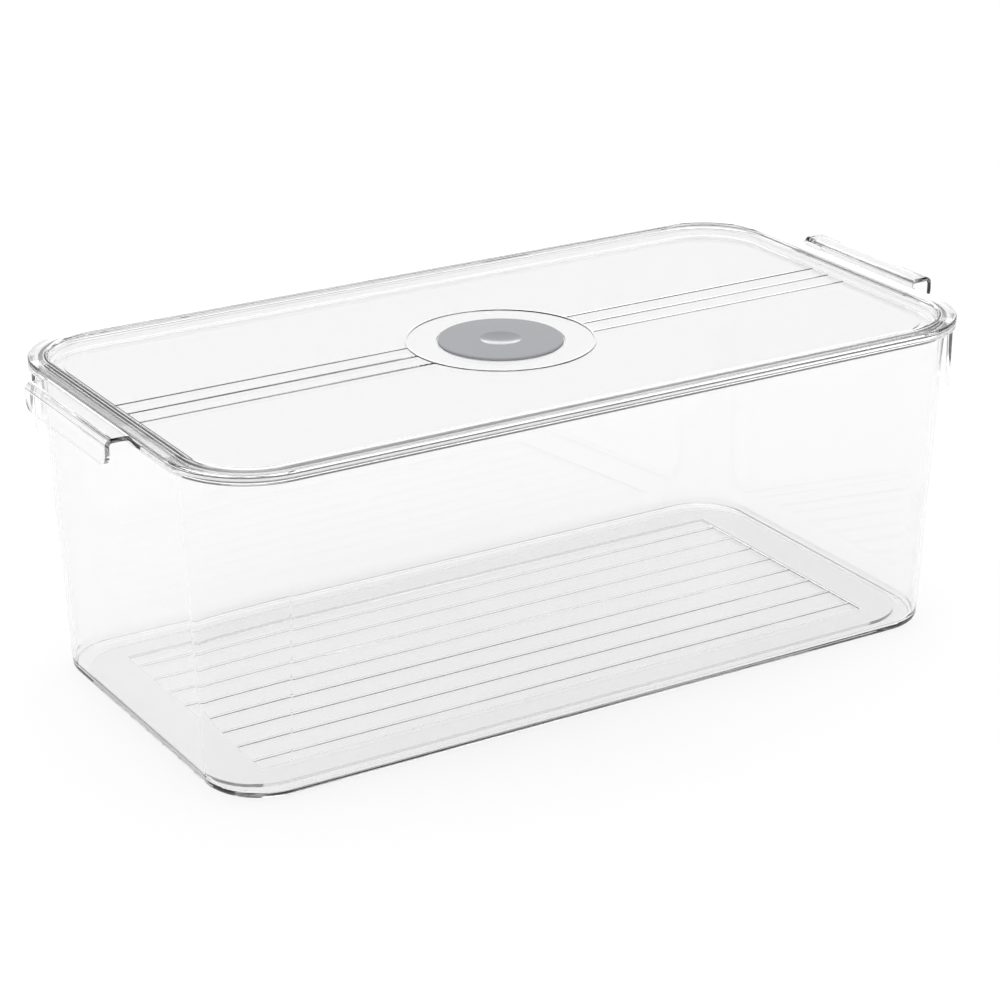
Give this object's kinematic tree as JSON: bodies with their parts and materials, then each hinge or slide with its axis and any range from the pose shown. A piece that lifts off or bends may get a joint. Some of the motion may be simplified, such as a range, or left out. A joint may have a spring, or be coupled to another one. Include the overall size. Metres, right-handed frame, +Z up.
{
  "type": "storage bin with vented lid",
  "caption": "Clear lidded kitchen bin with rounded corners, end handles, ribbed floor and a round grey vent button in its recessed lid.",
  "frame": {"origin": "centre of the footprint, on the plane of the foot", "axes": "+X along the length, towards the handle that lies at the right in the picture; +Y across, away from the viewer; +Z up"},
  "size_m": [0.391, 0.193, 0.1419],
  "materials": {
    "clear_body": "clear injection-moulded plastic, polished",
    "clear_lid": "clear injection-moulded plastic, polished",
    "grey_vent": "light grey moulded plastic, satin"
  },
  "bodies": {
    "bin": {"bin": "clear_body"},
    "lid": {"lid": "clear_lid"},
    "vent": {"vent_button": "grey_vent", "vent_collar": "grey_vent"}
  },
  "joints": [
    {"name": "lid_lift", "type": "slide", "parent": "bin", "child": "lid", "axis": [0, 0, 1], "range_m": [0, 0.15]},
    {"name": "vent_lift", "type": "slide", "parent": "lid", "child": "vent", "axis": [0, 0, 1], "range_m": [0, 0.0022]}
  ]
}
